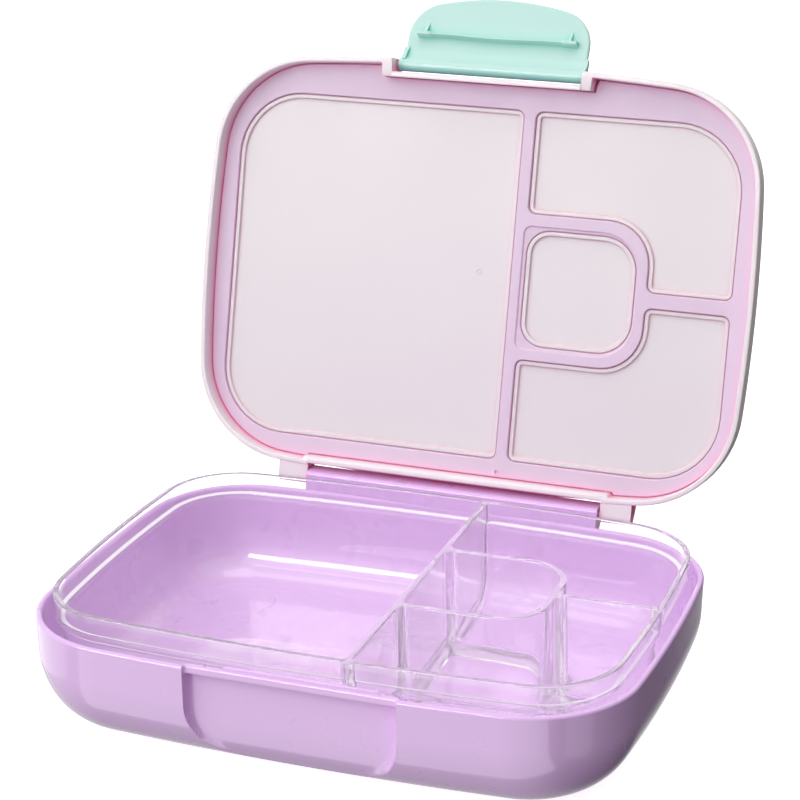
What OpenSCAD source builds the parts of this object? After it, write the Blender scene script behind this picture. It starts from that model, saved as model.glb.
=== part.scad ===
// Bento lunch box: a soft-cornered base with a lift-out four-compartment tray,
// a hinged lid with a perimeter and divider seal, and a swing latch on its front edge.
// Frame: +X to the right, -Y to the front, +Y to the hinge, +Z up, millimetres.
// The origin is the middle of the flat underside. Drawn with the lid and latch open.

/* [Box] */

// Outside width at the rim
body_w = 216; // [160:1:260]
// Outside depth at the rim
body_d = 159.8; // [120:0.2:200]
// Height of the base rim above the underside
rim_z = 38; // [30:1:60]
// Corner radius of the outline
corner_r = 38.5; // [30:0.5:45]
// Bow radius of the front and rear sides
long_bow_r = 1028; // [600:1:2000]
// Bow radius of the left and right sides
short_bow_r = 647; // [400:1:2000]
// Wall thickness of the base
wall_t = 2.3; // [1.6:0.1:3]
// Width of the round-over from wall to underside
foot_round_w = 21; // [10:0.5:25]
// Height of the round-over from wall to underside
foot_round_h = 26; // [10:0.5:28]

/* [Lid] */

// Height of the closed lid, rim edge to top
lid_h = 12.6; // [10:0.1:16]
// Gap between the closed lid edge and the base rim
lid_gap = 0.4; // [0.2:0.1:1]
// Depth of the seal face inside the lid edge
seal_depth = 6.35; // [5:0.05:9]
// How far the lid stands open, from closed
lid_open_deg = 104.4; // [90:0.1:120]

/* [Hinge] */

// Distance of the hinge axis behind the middle of the box
hinge_y = 82.4; // [80:0.1:90]
// Height of the hinge axis
hinge_z = 41.4; // [36:0.1:50]
// Length of the hinge block on the base
barrel_len = 115.4; // [80:0.2:130]
// Radius of the round ends of the hinge ears
ear_r = 2.7; // [2.4:0.1:4]
// Length of each hinge ear on the lid
ear_len = 11.8; // [8:0.2:20]
// Radius of a hinge pin
pin_r = 1.3; // [1:0.1:2]

/* [Latch] */

// Width of the latch
latch_w = 71.2; // [50:0.2:90]
// Length of the latch below its axis
latch_len = 28.6; // [24:0.1:34]
// Swing of the latch from closed to open
latch_open_deg = 107; // [100:1:140]
// Radius of the latch pin
latch_pin_r = 1.2; // [0.8:0.1:1.6]

/* [Tray] */

// Height of the tray top above the underside of the box
tray_top_z = 44.5; // [40:0.5:60]
// Thickness of the tray walls at the top
tray_t = 2; // [1.4:0.1:3]

/* [Hidden] */

hx = body_w / 2;
hy = body_d / 2;
floor_t = 2.4;
foot_boss_h = 0.6;
foot_boss_r = 12.2;
foot_x = 70;
foot_y = 43.5;

// recess for the latch in the front wall
rec_half_w = 37.2;
rec_low_z = 8.5;
rec_corner = 16;
rec_ramp = 1.8;
rec_y = -hy + 5.5;
ledge_y = -hy + 2.3;
ledge_low_z = 35;

// tray outline
tray_hx = 102.3;
tray_hy = 72.3;
tray_cy = 1.8;
tray_corner = 29;
tray_step_z = 36;
tray_low_z = floor_t + foot_boss_h;
divider_x = 16.75;
divider_t = 2.3;
cross_y = 2.35;
mid_x = 64.4;
mid_y0 = -22.8;
mid_y1 = 26.5;

// lid levels, closed
lid_z0 = rim_z + lid_gap;
lid_z1 = lid_z0 + lid_h;
seal_z = lid_z0 + seal_depth;
seal_t = 1.6;
liner_z = seal_z + seal_t;
field_z = seal_z + 3.4;
liner_t = 0.9;
lid_top_t = 1.6;
notch_half_w = 36.6;
notch_y = -74.1;
notch_wall = 2.1;
latch_y = -77;
latch_z = 46;
latch_t = 2.2;
cut_half_w = barrel_len / 2 + 0.6;
cut_y = 77.2;
cut_wall = 2;
win_x = 98.7;
win_y0 = -63.4;
win_y1 = 67.8;

// ---- outline of arcs: bowed sides and round corners, moved in by d ----

function arc_mid(ax, ay, r0, bx, by, r1) =
    let (
        q = [bx - ax, by - ay],
        l = norm(q),
        a = (r0 * r0 - r1 * r1 + l * l) / (2 * l),
        h = sqrt(r0 * r0 - a * a),
        m = [ax, ay] + q * a / l
    ) m + [-q[1], q[0]] * h / l;

long_x = [62, 54, 47, 42, 39.5, 38, 37.2, 36.3, 35.4, 34, 31, 27, 20, 10, 0];

function quarter(ax, ay, rc, rl, rs, d) =
    let (
        p = [0, ay - rl],
        q = [ax - rs, 0],
        c0 = arc_mid(p[0], p[1], rl - rc, q[0], q[1], rs - rc),
        c1 = arc_mid(q[0], q[1], rs - rc, p[0], p[1], rl - rc),
        c = (c0[0] > 0 && c0[1] > 0) ? c0 : c1,
        t1 = atan2(c[1] - q[1], c[0] - q[0]),
        t2 = atan2(c[1] - p[1], c[0] - p[0]),
        side = [for (k = [0:3]) q + (rs - d) * [cos(t1 * k / 4), sin(t1 * k / 4)]],
        corner = [for (k = [0:9]) let (t = t1 + (t2 - t1) * k / 9) c + (rc - d) * [cos(t), sin(t)]],
        long = [for (x = long_x) [x, p[1] + sqrt((rl - d) * (rl - d) - x * x)]]
    ) concat(side, corner, long);

function full_ring(ax, ay, rc, rl, rs, d) =
    let (
        q = quarter(ax, ay, rc, rl, rs, d),
        n = len(q)
    ) concat(
        q,
        [for (k = [n - 2:-1:0]) [-q[k][0], q[k][1]]],
        [for (k = [1:n - 1]) [-q[k][0], -q[k][1]]],
        [for (k = [n - 2:-1:1]) [q[k][0], -q[k][1]]]
    );

function box_ring(d) = full_ring(hx, hy, corner_r, long_bow_r, short_bow_r, d);
function tray_ring(d) =
    [for (p = full_ring(tray_hx, tray_hy, tray_corner, long_bow_r, short_bow_r, d)) p + [0, tray_cy]];

// solid through a stack of rings with the same number of points
module loft(rings) {
    n = len(rings[0]);
    m = len(rings);
    polyhedron(
        points = [for (r = rings) for (p = r) p],
        faces = concat(
            [[for (k = [0:n - 1]) k]],
            [[for (k = [n - 1:-1:0]) (m - 1) * n + k]],
            [for (j = [0:m - 2]) for (k = [0:n - 1]) let (k2 = (k + 1) % n)
                [j * n + k, (j + 1) * n + k, (j + 1) * n + k2]],
            [for (j = [0:m - 2]) for (k = [0:n - 1]) let (k2 = (k + 1) % n)
                [j * n + k, (j + 1) * n + k2, j * n + k2]]
        )
    );
}

// ---- base ----

function rec_in(x, z) =
    let (
        qx = abs(x) - (rec_half_w - rec_corner),
        qz = rec_low_z + rec_corner - z,
        r = (qx > 0 && qz > 0) ? norm([qx, qz]) : max(qx, qz)
    ) min(1, max(0, (rec_corner - r) / rec_ramp));

function rec_ring(d, z, y_rec) =
    [for (p = box_ring(d)) [p[0], p[1] < 0 ? p[1] + max(0, y_rec - p[1]) * rec_in(p[0], z) : p[1], z]];

foot_steps = [0, 12, 24, 36, 46, 56, 66, 78, 90];

base_rings = concat(
    [for (k = [len(foot_steps) - 1:-1:0]) let (a = foot_steps[k])
        rec_ring(0.4 + foot_round_w * (1 - cos(a)), foot_round_h * (1 - sin(a)), rec_y)],
    [
        rec_ring(0.2, 31, rec_y),
        rec_ring(0.1, ledge_low_z - 0.2, rec_y),
        rec_ring(0.1, ledge_low_z, ledge_y),
        rec_ring(0, rim_z - 0.5, ledge_y),
        rec_ring(0.5, rim_z, ledge_y + 0.5),
        rec_ring(wall_t - 0.4, rim_z, ledge_y + wall_t - 0.4),
        rec_ring(wall_t, rim_z - 0.4, ledge_y + wall_t),
        rec_ring(wall_t, ledge_low_z + 2, ledge_y + wall_t),
        rec_ring(wall_t + 0.1, ledge_low_z + 1.8, rec_y + wall_t)
    ],
    [for (a = foot_steps)
        rec_ring(wall_t + 0.4 + (foot_round_w - wall_t) * (1 - cos(a)),
            floor_t + (foot_round_h - floor_t) * (1 - sin(a)), rec_y + wall_t)]
);

module hinge_block() {
    translate([-barrel_len / 2, 0, 0])
        rotate([90, 0, 90])
            linear_extrude(barrel_len)
                polygon([
                    [hy - 2.2, 33], [hy - 0.9, 31.5], [hinge_y + 2, hinge_z - 4.5],
                    [hinge_y + 2.6, hinge_z - 3], [hinge_y + 2.6, hinge_z + 1.8],
                    [hinge_y + 2.2, hinge_z + 2.8], [hinge_y + 1.4, hinge_z + 3.2],
                    [hinge_y - 2.8, hinge_z + 3.2], [hinge_y - 3.9, hinge_z + 2.6],
                    [hinge_y - 4.5, hinge_z + 1.4], [hy - 2.2, hinge_z - 1]
                ]);
}

module along_x(x0, x1, y, z, r) {
    translate([x0, y, z])
        rotate([0, 90, 0])
            cylinder(r = r, h = x1 - x0, $fn = 48);
}

module base_shell() {
    color([0.81, 0.71, 0.85])
        difference() {
            union() {
                loft(base_rings);
                hinge_block();
                for (sx = [-1, 1])
                    for (sy = [-1, 1])
                        translate([sx * foot_x, sy * foot_y, floor_t - 0.5])
                            cylinder(r = foot_boss_r, h = foot_boss_h + 0.5, $fn = 48);
                translate([-27, ledge_y + 0.9, rim_z - 1])
                    cube([54, 1.2, 2.2]);
            }
            for (sx = [-1, 1])
                for (sy = [-1, 1])
                    translate([sx * foot_x, sy * foot_y, -1])
                        cylinder(r = foot_boss_r - 1.2, h = foot_boss_h + 1, $fn = 48);
            along_x(-barrel_len / 2 - 1, -barrel_len / 2 + 9, hinge_y, hinge_z, pin_r);
            along_x(barrel_len / 2 - 9, barrel_len / 2 + 1, hinge_y, hinge_z, pin_r);
        }
}

module hinge_pin(s) {
    x0 = barrel_len / 2 - 9;
    x1 = barrel_len / 2 + ear_len - 0.6;
    color([0.75, 0.76, 0.78])
        if (s > 0) along_x(x0, x1, hinge_y, hinge_z, pin_r);
        else along_x(-x1, -x0, hinge_y, hinge_z, pin_r);
}

module hinge_pin_left() {
    hinge_pin(-1);
}

module hinge_pin_right() {
    hinge_pin(1);
}

// ---- rounded outlines with square corners, each edge moved in by its own share of d ----

function turn(p, i) =
    let (
        n = len(p),
        a = p[i] - p[(i + n - 1) % n],
        b = p[(i + 1) % n] - p[i]
    ) a[0] * b[1] - a[1] * b[0];

function inward(p, i) =
    let (
        n = len(p),
        e = p[(i + 1) % n] - p[i]
    ) [-e[1], e[0]] / norm(e);

function soft_ring(p, r, w, d, steps) =
    let (
        n = len(p),
        moved = [for (i = [0:n - 1]) let (j = (i + n - 1) % n)
            p[i] + d * (w[j] * inward(p, j) + w[i] * inward(p, i))]
    ) [for (i = [0:n - 1])
        let (
            j = (i + n - 1) % n,
            a = moved[j] - moved[i],
            b = moved[(i + 1) % n] - moved[i],
            ua = a / norm(a),
            ub = b / norm(b),
            convex = turn(p, i) > 0,
            share = d * min(w[j], w[i]),
            q = convex ? max(0.5, r[i] - share) : r[i] + share,
            c = moved[i] + q * (ua + ub),
            t0 = atan2(-ub[1], -ub[0]),
            sweep = convex ? 90 : -90
        )
        for (k = [0:steps]) let (t = t0 + sweep * k / steps) c + q * [cos(t), sin(t)]
    ];

// ---- tray ----

// pockets reach past the tray on their outer sides, where the tray's own wall bounds them
past_x = tray_hx + 6;
past_y0 = tray_cy - tray_hy - 6;
past_y1 = tray_cy + tray_hy + 6;
div_l = divider_x - divider_t / 2;
div_r = divider_x + divider_t / 2;

pocket_left = [[-past_x, past_y0], [div_l, past_y0], [div_l, past_y1], [-past_x, past_y1]];
pocket_front = [
    [div_r, past_y0], [past_x, past_y0], [past_x, cross_y - divider_t / 2],
    [mid_x + divider_t / 2, cross_y - divider_t / 2],
    [mid_x + divider_t / 2, mid_y0 - divider_t / 2], [div_r, mid_y0 - divider_t / 2]
];
pocket_rear = [
    [div_r, mid_y1 + divider_t / 2], [mid_x + divider_t / 2, mid_y1 + divider_t / 2],
    [mid_x + divider_t / 2, cross_y + divider_t / 2], [past_x, cross_y + divider_t / 2],
    [past_x, past_y1], [div_r, past_y1]
];
pocket_mid = [
    [div_r, mid_y0 + divider_t / 2], [mid_x - divider_t / 2, mid_y0 + divider_t / 2],
    [mid_x - divider_t / 2, mid_y1 - divider_t / 2], [div_r, mid_y1 - divider_t / 2]
];

pocket_steps = [0, 15, 30, 45, 60, 75, 90];
pocket_low = tray_low_z + 1.8;
pocket_top = tray_top_z + 1;

// draft down the walls, then a round-over of the given size into the floor
module pocket(p, r, w) {
    draft = 0.9;
    bend = 4;
    levels = concat(
        [for (k = [6:-1:0]) let (a = pocket_steps[k])
            [draft + bend * (1 - cos(a)), pocket_low + bend * (1 - sin(a))]],
        [[0, pocket_top]]
    );
    loft([for (l = levels) [for (q = soft_ring(p, r, w, l[0], 7)) [q[0], q[1], l[1]]]]);
}

module tray_room() {
    levels = concat(
        [for (k = [6:-1:0]) let (a = pocket_steps[k])
            [tray_t + 2.1 + 12.4 * (1 - cos(a)), pocket_low + 13.2 * (1 - sin(a))]],
        [[tray_t + 1.8, tray_step_z], [tray_t, tray_step_z + 1.4], [tray_t, pocket_top]]
    );
    loft([for (l = levels) [for (q = tray_ring(l[0])) [q[0], q[1], l[1]]]]);
}

module tray() {
    outside = concat(
        [for (k = [6:-1:0]) let (a = pocket_steps[k])
            [2.3 + 14 * (1 - cos(a)), tray_low_z + 15 * (1 - sin(a))]],
        [[1.9, tray_step_z - 1.2], [0.2, tray_step_z], [0, tray_top_z - 0.4], [0.4, tray_top_z]]
    );
    color([0.93, 0.91, 0.96, 0.45])
        resize([2 * tray_hx, 2 * tray_hy, tray_top_z - tray_low_z])
            difference() {
                loft([for (l = outside) [for (q = tray_ring(l[0])) [q[0], q[1], l[1]]]]);
                intersection() {
                    tray_room();
                    union() {
                        pocket(pocket_left, [2, 5, 5, 2], [0, 1, 0, 0]);
                        pocket(pocket_front, [5, 2, 5, 4, 17, 4], [0, 0, 1, 1, 1, 1]);
                        pocket(pocket_rear, [4, 17, 4, 5, 2, 5], [1, 1, 1, 0, 0, 1]);
                        pocket(pocket_mid, [4, 15, 15, 4], [1, 1, 1, 1]);
                    }
                }
            }
}

// ---- lid, modelled closed and then swung open ----

module swing_lid() {
    translate([0, hinge_y, hinge_z])
        rotate([-lid_open_deg, 0, 0])
            translate([0, -hinge_y, -hinge_z])
                children();
}

module swing_latch() {
    translate([0, latch_y, latch_z])
        rotate([-latch_open_deg, 0, 0])
            translate([0, -latch_y, -latch_z])
                children();
}

lid_round = 4.5;
lid_steps = [0, 20, 40, 60, 76, 90];
lid_levels = concat(
    [[0.5, lid_z0], [0.1, lid_z0 + 0.5]],
    [for (a = lid_steps)
        [0.3 + lid_round * (1 - cos(a)), lid_z1 - 0.5 - lid_round * (1 - sin(a))]],
    [[20, lid_z1 - 0.2], [34, lid_z1]]
);
lid_inner_levels = [
    [34, lid_z1 - lid_top_t], [5.2, lid_z1 - lid_top_t - 0.3], [3.4, lid_z1 - lid_top_t - 1.5],
    [2.5, liner_z - 0.2], [2.3, lid_z0 + 0.5], [2, lid_z0]
];

module lid_body() {
    tops = [for (l = concat(lid_levels)) [for (q = box_ring(l[0])) [q[0], q[1], l[1]]]];
    lows = [for (l = lid_inner_levels) [for (q = box_ring(l[0])) [q[0], q[1], l[1]]]];
    rings = concat(tops, lows);
    n = len(rings[0]);
    m = len(rings);
    mt = len(tops);
    bands = [for (j = [0:m - 1]) if (j != mt - 1) j];
    polyhedron(
        points = [for (r = rings) for (p = r) p],
        faces = concat(
            [[for (k = [n - 1:-1:0]) (mt - 1) * n + k]],
            [[for (k = [0:n - 1]) mt * n + k]],
            [for (j = bands) for (k = [0:n - 1]) let (k2 = (k + 1) % n, j2 = (j + 1) % m)
                [j * n + k, j2 * n + k, j2 * n + k2]],
            [for (j = bands) for (k = [0:n - 1]) let (k2 = (k + 1) % n, j2 = (j + 1) % m)
                [j * n + k, j2 * n + k2, j * n + k2]]
        )
    );
}

module ear(s) {
    x0 = s > 0 ? cut_half_w : -cut_half_w - ear_len;
    difference() {
        union() {
            along_x(x0, x0 + ear_len, hinge_y, hinge_z, ear_r);
            translate([x0, 0, 0])
                rotate([90, 0, 90])
                    linear_extrude(ear_len)
                        polygon([
                            [hy - 4.2, hinge_z - ear_r], [hinge_y, hinge_z - ear_r],
                            [hinge_y + ear_r, hinge_z], [hinge_y + ear_r - 0.6, hinge_z + 1.5],
                            [hy - 1, lid_z1 - 5], [hy - 4.2, lid_z1 - 5]
                        ]);
        }
        along_x(x0 - 1, x0 + ear_len + 1, hinge_y, hinge_z, pin_r + 0.05);
    }
}

module lid_shell() {
    cheek = 4;
    notch_deep = hy + notch_y;
    color([0.93, 0.89, 0.91])
        swing_lid()
            difference() {
                union() {
                    difference() {
                        lid_body();
                        translate([-notch_half_w, -hy - 5, lid_z0 - 5])
                            cube([2 * notch_half_w, notch_deep + 5, lid_h + 10]);
                        translate([-cut_half_w, cut_y, lid_z0 - 5])
                            cube([2 * cut_half_w, 20, hinge_z + 4.2 - lid_z0 + 5]);
                    }
                    translate([-notch_half_w - cheek, notch_y, lid_z0])
                        cube([2 * (notch_half_w + cheek), notch_wall, lid_z1 - lid_top_t - lid_z0]);
                    for (s = [0, 1])
                        translate([s * (2 * notch_half_w + cheek) - notch_half_w - cheek, -hy + 1.6, lid_z0 + 0.4])
                            cube([cheek, notch_deep, 9]);
                    translate([-cut_half_w - 2, cut_y - cut_wall, lid_z0])
                        cube([2 * cut_half_w + 4, cut_wall, lid_z1 - lid_top_t - lid_z0]);
                    ear(-1);
                    ear(1);
                }
                along_x(-notch_half_w - 3.6, notch_half_w + 3.6, latch_y, latch_z, latch_pin_r);
            }
}

// ---- lid lining and seal ----

win_left = [[-win_x, win_y0], [14.6, win_y0], [14.6, win_y1], [-win_x, win_y1]];
win_front = [[19, win_y0], [win_x, win_y0], [win_x, -0.4], [66.6, -0.4], [66.6, -25.4], [19, -25.4]];
win_rear = [[19, 29.1], [66.6, 29.1], [66.6, 5.1], [win_x, 5.1], [win_x, win_y1], [19, win_y1]];
win_mid = [[19.2, -20.9], [62.8, -20.9], [62.8, 23.1], [19.2, 23.1]];
ones = [1, 1, 1, 1, 1, 1];

module windows(d) {
    polygon(soft_ring(win_left, [25, 3, 3, 25], ones, d, 8));
    polygon(soft_ring(win_front, [3, 25, 3, 3, 16, 3], ones, d, 8));
    polygon(soft_ring(win_rear, [3, 16, 3, 3, 25, 3], ones, d, 8));
    polygon(soft_ring(win_mid, [9, 14, 14, 9], ones, d, 8));
}

module lid_outline(d) {
    difference() {
        polygon(box_ring(d));
        translate([-notch_half_w - 4.6, -hy - 5])
            square([2 * notch_half_w + 9.2, hy + notch_y + notch_wall + 5.2]);
        translate([-cut_half_w - 2.2, cut_y - cut_wall - 0.2])
            square([2 * cut_half_w + 4.4, 20]);
    }
}

// a thin plate with lands that carry the seal round each sunk field
module lid_liner() {
    color([0.94, 0.9, 0.92])
        swing_lid()
            union() {
                translate([0, 0, field_z])
                    linear_extrude(liner_t)
                        lid_outline(5.6);
                translate([0, 0, liner_z])
                    linear_extrude(field_z - liner_z + 0.3)
                        difference() {
                            lid_outline(4.6);
                            windows(0.6);
                        }
            }
}

module lid_seal() {
    color([0.89, 0.8, 0.9])
        swing_lid()
            translate([0, 0, seal_z])
                linear_extrude(seal_t)
                    difference() {
                        lid_outline(2.8);
                        windows(0);
                    }
}

// ---- latch, modelled closed and then swung ----

module latch_profile() {
    hull() {
        translate([latch_y, latch_z])
            circle(r = 2.5, $fn = 32);
        translate([latch_y - 2.1, latch_z - 3.2])
            circle(r = 1.1, $fn = 20);
    }
    translate([latch_y - 3.2, latch_z - latch_len])
        square([latch_t, latch_len - 3.2]);
    polygon([
        [latch_y - 1.4, latch_z - 13.2], [latch_y + 2.3, latch_z - 12.2],
        [latch_y + 2.3, latch_z - 11.4], [latch_y - 1.4, latch_z - 11.4]
    ]);
}

// straight sides, round corners and a bowed lower edge
module latch_outline() {
    h = latch_w / 2;
    c = 14;
    bow = 105;
    low = latch_z - latch_len + bow;
    drop = sqrt((bow - c) * (bow - c) - (h - c) * (h - c));
    hull() {
        translate([-h, latch_z - 8])
            square([latch_w, 12]);
        for (s = [-1, 1])
            translate([s * (h - c), low - drop])
                circle(r = c, $fn = 64);
        polygon([for (x = [-24:4:24]) [x, low - sqrt(bow * bow - x * x)]]);
    }
}

module latch() {
    color([0.79, 0.94, 0.91])
        swing_lid()
            swing_latch()
                difference() {
                    intersection() {
                        translate([-latch_w / 2, 0, 0])
                            rotate([90, 0, 90])
                                linear_extrude(latch_w)
                                    latch_profile();
                        translate([0, latch_y + 6, 0])
                            rotate([90, 0, 0])
                                linear_extrude(14)
                                    latch_outline();
                    }
                    along_x(-latch_w / 2 - 1, latch_w / 2 + 1, latch_y, latch_z, latch_pin_r + 0.05);
                    for (s = [-1, 1])
                        translate([s * (latch_w / 2 - 1) - 3, latch_y - 1.0, latch_z - 15])
                            cube([6, 6, 5]);
                }
}

module latch_pin() {
    color([0.75, 0.76, 0.78])
        swing_lid()
            along_x(-notch_half_w - 3.6, notch_half_w + 3.6, latch_y, latch_z, latch_pin_r);
}

base_shell();
hinge_pin_left();
hinge_pin_right();
tray();
lid_shell();
lid_liner();
lid_seal();
latch();
latch_pin();
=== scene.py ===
import math

import bmesh
import bpy
from mathutils import Matrix, Vector
from mathutils.geometry import tessellate_polygon


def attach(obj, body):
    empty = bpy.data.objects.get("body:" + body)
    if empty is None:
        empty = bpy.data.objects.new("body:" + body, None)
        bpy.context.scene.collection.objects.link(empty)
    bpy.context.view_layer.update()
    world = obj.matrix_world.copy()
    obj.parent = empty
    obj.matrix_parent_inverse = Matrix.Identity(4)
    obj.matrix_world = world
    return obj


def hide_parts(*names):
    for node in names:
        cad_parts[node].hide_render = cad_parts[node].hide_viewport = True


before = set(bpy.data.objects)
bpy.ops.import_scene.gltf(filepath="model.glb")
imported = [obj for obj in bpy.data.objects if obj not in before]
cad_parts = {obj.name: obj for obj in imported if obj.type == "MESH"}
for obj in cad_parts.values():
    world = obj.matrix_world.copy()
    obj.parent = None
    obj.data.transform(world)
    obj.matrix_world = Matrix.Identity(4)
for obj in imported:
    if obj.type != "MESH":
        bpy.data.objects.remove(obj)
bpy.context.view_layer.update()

MM = 0.001

# ---------------------------------------------------------------- sizes, in millimetres
# The box is modelled closed, in the CAD model's frame: x to the right, y to the rear, z up.
# LID and LATCH then swing the lid and the latch open, as the photograph shows them.

# base: half width and half depth
HX, HY = 108.0, 79.9
# its radii in plan: corners, bowed long sides, bowed short sides
CORNER, LONG_R, SHORT_R = 38.5, 1028.0, 647.0
# height and rounding of its rim, thickness of its wall and floor
RIM_Z, RIM_R, WALL, FLOOR = 38.0, 1.15, 2.3, 2.4
# inset of its wall just over the rounded lower edge and just under the rim
LOW_INSET, TOP_INSET = 0.4, 0.1
# rounded lower edge, across and up, and the centre of one of the four round feet
FOOT_W, FOOT_H = 21.0, 26.0
FOOT_X, FOOT_Y = 70.0, 43.5
# catch recess: half width, lowest point, radius of its lower corners, back, and rounding of its edge
REC_W, REC_Z, REC_R, REC_Y, REC_SOFT = 37.2, 3.5, 20.0, -74.4, 2.8
# catch ledge over the recess: underside, face, and rounding of its edge
LEDGE_Z, LEDGE_Y, LEDGE_SOFT = 35.0, -77.6, 1.4
# hinge axis, and length of the block on the base
HINGE_Y, HINGE_Z, BLOCK_L = 82.4, 41.4, 115.4
# radius and length of the lid's ears, radius of the pins and gap round them
EAR_R, EAR_L, PIN_R, PIN_GAP = 2.7, 11.8, 1.3, 0.05
# tray: half width, half depth, y of its middle, radius of its corners
TRAY_HX, TRAY_HY, TRAY_CY, TRAY_R = 102.3, 72.3, 1.8, 29.0
# its top and underside, thickness of its wall and floor, rounding of its lip
TRAY_TOP, TRAY_LOW, TRAY_T, TRAY_FLOOR, TRAY_LIP = 44.5, 3.0, 2.0, 1.8, 0.5
# dividers: x of the long one, thickness, y of the short one, and the loop's right, front and rear
DIV, DIV_T, CROSS, MID_X, MID_Y0, MID_Y1 = 16.75, 2.3, 2.35, 64.4, -22.8, 26.5
# lid: underside of the rim and top, inset of the side, rounding of the edge, fall of the crowned top
LID_Z0, LID_Z1, LID_INSET, LID_EDGE_R, CROWN = 38.4, 51.0, 0.3, 4.5, 0.5
# half width and back of the lid's latch notch, and of its hinge cut-out
NOTCH_W, NOTCH_Y, CUT_W, CUT_Y = 36.6, -74.1, 58.3, 77.45
# face and thickness of the seal, and height of the fields of the inner plate
SEAL_Z, SEAL_T, FIELD_Z = 44.75, 1.6, 46.7
# latch: pivot, width, length below the pivot, thickness
LATCH_Y, LATCH_Z, LATCH_W, LATCH_L, LATCH_T = -77.0, 46.0, 71.2, 28.6, 2.2
# how far the lid and the latch swing from closed to open
OPEN_DEG, SWING_DEG = 104.4, 107.0


def swing(y, z, degrees):
    """Matrix of a turn about the line along x through (y, z)."""
    axis = Vector((0, y, z))
    turn = Matrix.Rotation(math.radians(-degrees), 4, "X")
    return Matrix.Translation(axis) @ turn @ Matrix.Translation(-axis)


LID = swing(HINGE_Y, HINGE_Z, OPEN_DEG)
LATCH = LID @ swing(LATCH_Y, LATCH_Z, SWING_DEG)


# ---------------------------------------------------------------- small helpers
def clamp01(t):
    return 0.0 if t < 0 else 1.0 if t > 1 else t


def smooth(a, b, t):
    t = clamp01((t - a) / (b - a))
    return t * t * (3 - 2 * t)


def spread(a, b, n):
    return [a + (b - a) * k / n for k in range(n + 1)]


def arc_pts(c, r, a, b, n):
    return [(c[0] + r * math.cos(t), c[1] + r * math.sin(t)) for t in spread(a, b, n)]


def circle(c, r, n):
    return arc_pts(c, r, 0, 2 * math.pi, n)[:-1]


def at(path, z):
    """An (x, y) path as points at height z."""
    return [(x, y, z) for x, y in path]


def across(x, path):
    """A (y, z) path as points of the plane at x."""
    return [(x, y, z) for y, z in path]


class Outline:
    """A rectangle with round corners and sides bowed outwards, all of arcs."""

    def __init__(self, half_x, half_y, corner_r, long_r, short_r, cy=0.0):
        self.corner_r, self.long_r, self.short_r, self.cy = corner_r, long_r, short_r, cy
        # the long side's centre is (0, long_y), the short side's is (short_x, 0)
        self.long_y, self.short_x = half_y - long_r, half_x - short_r
        # the corner's centre lies long_r - corner_r from the one and short_r - corner_r from the other
        r0, r1 = long_r - corner_r, short_r - corner_r
        q = Vector((self.short_x, -self.long_y))
        length = q.length
        a = (r0 * r0 - r1 * r1 + length * length) / (2 * length)
        h = math.sqrt(r0 * r0 - a * a)
        u = q / length
        for sign in (1, -1):
            c = Vector((0, self.long_y)) + u * a + Vector((-u.y, u.x)) * h * sign
            if c.x > 0 and c.y > 0:
                self.c = c
        # angles where the corner's arc begins and ends
        self.t1 = math.atan2(self.c.y, self.c.x - self.short_x)
        self.t2 = math.atan2(self.c.y - self.long_y, self.c.x)

    def ring(self, d, xs, side_steps=6, corner_steps=16):
        """Closed path moved in by d, with points on the long sides at each x of xs."""
        q = []
        for k in range(side_steps):
            t, r = self.t1 * k / side_steps, self.short_r - d
            q.append((self.short_x + r * math.cos(t), r * math.sin(t)))
        q += arc_pts(self.c, self.corner_r - d, self.t1, self.t2, corner_steps)
        for x in xs:
            q.append((x, self.long_y + math.sqrt((self.long_r - d) ** 2 - x * x)))
        n = len(q)
        r = q + [(-x, y) for x, y in reversed(q[: n - 1])]
        r += [(-x, -y) for x, y in q[1:]]
        r += [(x, -y) for x, y in reversed(q[1 : n - 1])]
        return [(x, y + self.cy) for x, y in r]

    def arcs(self, d):
        """Centre, radius, start and end angle of each of the eight arcs, moved in by d."""
        t1, t2, pi, cy, c = self.t1, self.t2, math.pi, self.cy, self.c
        corner_r, long_r, short_r = self.corner_r - d, self.long_r - d, self.short_r - d
        return [
            ((self.short_x, cy), short_r, -t1, t1),
            ((c.x, cy + c.y), corner_r, t1, t2),
            ((0, cy + self.long_y), long_r, t2, pi - t2),
            ((-c.x, cy + c.y), corner_r, pi - t2, pi - t1),
            ((-self.short_x, cy), short_r, pi - t1, pi + t1),
            ((-c.x, cy - c.y), corner_r, pi + t1, pi + t2),
            ((0, cy - self.long_y), long_r, pi + t2, 2 * pi - t2),
            ((c.x, cy - c.y), corner_r, 2 * pi - t2, 2 * pi - t1),
        ]


def round_corner(p0, p, p1, r, n):
    """Points of the arc that rounds the corner p of the path p0, p, p1."""
    p = Vector(p)
    a = (Vector(p0) - p).normalized()
    b = (Vector(p1) - p).normalized()
    half = math.acos(max(-1.0, min(1.0, a.dot(b)))) / 2
    reach = r / math.tan(half)
    c = p + (a + b).normalized() * (r / math.sin(half))
    first, last = p + a * reach - c, p + b * reach - c
    t0 = math.atan2(first.y, first.x)
    turn = math.atan2(first.x * last.y - first.y * last.x, first.dot(last))
    return arc_pts(c, r, t0, t0 + turn, n)


# smallest radius left on a corner
SHARPEST = 0.3


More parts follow.
